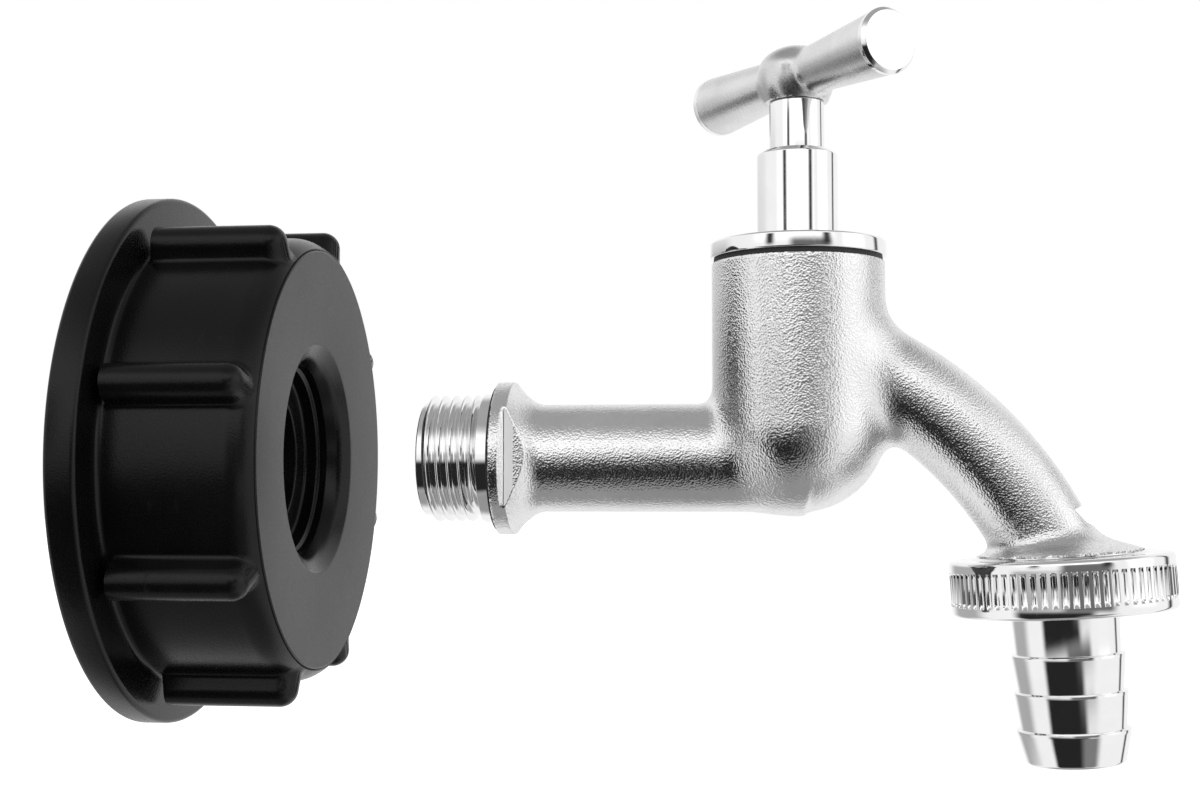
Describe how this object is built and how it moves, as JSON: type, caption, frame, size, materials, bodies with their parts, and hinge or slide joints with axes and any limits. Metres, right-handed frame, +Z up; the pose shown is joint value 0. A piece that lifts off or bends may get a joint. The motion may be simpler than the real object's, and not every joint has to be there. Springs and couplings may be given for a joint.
{
  "type": "ibc tank valve",
  "caption": "Screw-on tank adapter cap with grip ribs and a plated bib tap: T handle, curved spout, union nut and barbed hose nozzle.",
  "frame": {"origin": "on the inlet axis, where the tank thread of the adapter cap begins, 1 mm inside its rim face", "axes": "+X along the inlet axis from the tank to the tap, +Z up when the tap hangs with its nozzle down"},
  "size_m": [0.1668, 0.088, 0.1163],
  "materials": {
    "cap": "matte black moulded polypropylene",
    "seal": "black rubber",
    "casting": "sand-cast and plated, satin with a fine sparkle",
    "polished": "turned, polished and plated",
    "handle": "satin plated casting with turned ends",
    "nylon": "natural nylon",
    "brass": "turned brass",
    "steel": "stainless steel"
  },
  "bodies": {
    "adapter": {"adapter_cap": "cap", "tank_gasket": "seal"},
    "inlet_ring": {"inlet_seal": "seal"},
    "tap": {"valve_body": "casting", "bonnet_seal": "seal", "bonnet": "polished"},
    "jumper_group": {"jumper": "brass", "seat_washer": "seal", "washer_nut": "brass"},
    "spindle_group": {"spindle": "polished", "thrust_washer": "nylon", "lower_stem_seal": "seal", "upper_stem_seal": "seal", "jumper_pin": "steel", "t_handle": "handle", "handle_screw": "steel"},
    "gasket": {"nozzle_gasket": "seal"},
    "nut": {"union_nut": "polished"},
    "nozzle": {"hose_nozzle": "polished"}
  },
  "joints": [
    {"name": "tap_advance", "type": "slide", "parent": "adapter", "child": "inlet_ring", "axis": [-1, 0, 0], "range_m": [0, 0.0381]},
    {"name": "tap_screw", "type": "hinge", "parent": "inlet_ring", "child": "tap", "pos_m": [0.0579, 0, 0], "axis": [-1, 0, 0], "range_deg": [0, 7560]},
    {"name": "spindle_rise", "type": "slide", "parent": "tap", "child": "jumper_group", "axis": [0, 0, 1], "range_m": [0, 0.005]},
    {"name": "handle_turn", "type": "hinge", "parent": "jumper_group", "child": "spindle_group", "pos_m": [0.107, 0, 0.0627], "axis": [0, 0, 1], "range_deg": [0, 900]},
    {"name": "union_drop", "type": "slide", "parent": "tap", "child": "gasket", "axis": [0.061, 0, -0.9981], "range_m": [0, 0.00408]},
    {"name": "nut_turn", "type": "hinge", "parent": "gasket", "child": "nut", "pos_m": [0.14817, 0, -0.01979], "axis": [0.061, 0, -0.9981], "range_deg": [0, 810]},
    {"name": "nozzle_swivel", "type": "hinge", "parent": "gasket", "child": "nozzle", "pos_m": [0.14878, 0, -0.02977], "axis": [0.061, 0, -0.9981], "continuous": true}
  ],
  "couplings": [
    {"joint": "tap_advance", "follows": "tap_screw", "m_per_rad": 0.00028875},
    {"joint": "spindle_rise", "follows": "handle_turn", "m_per_rad": 0.00031831},
    {"joint": "union_drop", "follows": "nut_turn", "m_per_rad": 0.00028875}
  ]
}
